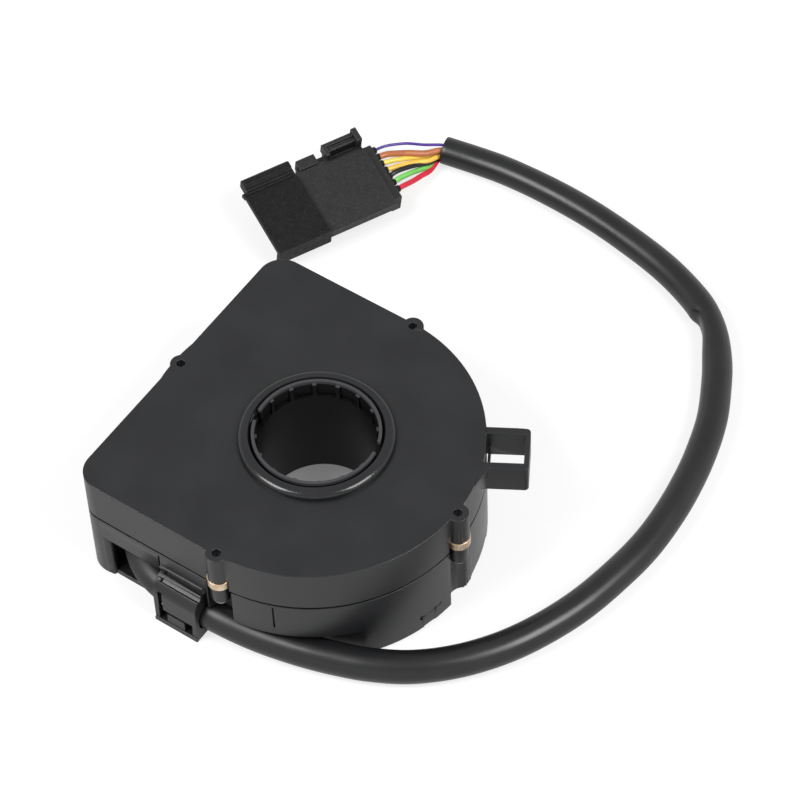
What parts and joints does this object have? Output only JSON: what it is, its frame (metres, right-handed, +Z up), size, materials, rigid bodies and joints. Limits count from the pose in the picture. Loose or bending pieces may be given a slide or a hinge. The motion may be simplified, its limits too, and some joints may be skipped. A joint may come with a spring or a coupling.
{
  "type": "steering angle sensor",
  "caption": "Housing with a bore for a steering shaft; its rotor turns geared magnets over a board, and a short cable ends in a plug.",
  "frame": {"origin": "the bore axis at the plane that the housing rests on", "axes": "+Z up the bore, +X towards the round end of the housing, the cable leaves on the -Y side"},
  "size_m": [0.1465, 0.1622, 0.0362],
  "materials": {
    "housing_plastic": "fine matte moulded surface",
    "clamp_plastic": "smooth satin moulding",
    "rotor_plastic": "smooth low-friction moulding",
    "gear_plastic": "natural moulded gear plastic",
    "magnet_ferrite": "sintered ferrite grey",
    "board_laminate": "green solder mask",
    "chip_epoxy": "black epoxy",
    "plated_steel": "bright zinc plate",
    "header_plastic": "natural moulded plastic",
    "brass": "turned brass",
    "black_rubber": "moulded rubber",
    "sheath_vinyl": "uneven satin sleeve",
    "wire_violet": "thin wire insulation",
    "wire_brown": "wire insulation",
    "wire_yellow": "wire insulation",
    "wire_amber": "wire insulation",
    "wire_black": "wire insulation",
    "wire_green": "wire insulation",
    "wire_red": "wire insulation",
    "connector_plastic": "fine grained moulding"
  },
  "bodies": {
    "housing": {"top_cover": "housing_plastic", "base_housing": "housing_plastic", "cable_clamp": "clamp_plastic", "circuit_board": "board_laminate", "angle_chip_a": "chip_epoxy", "angle_chip_b": "chip_epoxy", "microcontroller": "chip_epoxy", "capacitors": "plated_steel", "terminal_header": "header_plastic", "board_screws": "plated_steel", "brass_bushings": "brass", "housing_screws": "plated_steel", "cable_grommet": "black_rubber", "cable_sheath": "sheath_vinyl", "wire_violet": "wire_violet", "wire_brown": "wire_brown", "wire_yellow": "wire_yellow", "wire_amber": "wire_amber", "wire_black": "wire_black", "wire_green": "wire_green", "wire_red": "wire_red", "connector_shell": "connector_plastic", "connector_block": "connector_plastic", "connector_lock": "connector_plastic", "contact_pins": "brass"},
    "rotor": {"rotor_hub": "rotor_plastic"},
    "gear_a": {"measuring_gear_a": "gear_plastic", "magnet_a": "magnet_ferrite"},
    "gear_b": {"measuring_gear_b": "gear_plastic", "magnet_b": "magnet_ferrite"}
  },
  "joints": [
    {"name": "rotor_spin", "type": "hinge", "parent": "housing", "child": "rotor", "pos_m": [0, 0, 0.018], "axis": [0, 0, 1], "continuous": true},
    {"name": "gear_a_spin", "type": "hinge", "parent": "housing", "child": "gear_a", "pos_m": [-0.02236, 0.01566, 0.0114], "axis": [0, 0, 1], "continuous": true},
    {"name": "gear_b_spin", "type": "hinge", "parent": "housing", "child": "gear_b", "pos_m": [-0.02587, -0.01098, 0.0114], "axis": [0, 0, 1], "continuous": true}
  ],
  "couplings": [
    {"joint": "gear_a_spin", "follows": "rotor_spin", "ratio": -2.7778},
    {"joint": "gear_b_spin", "follows": "rotor_spin", "ratio": -2.5}
  ]
}
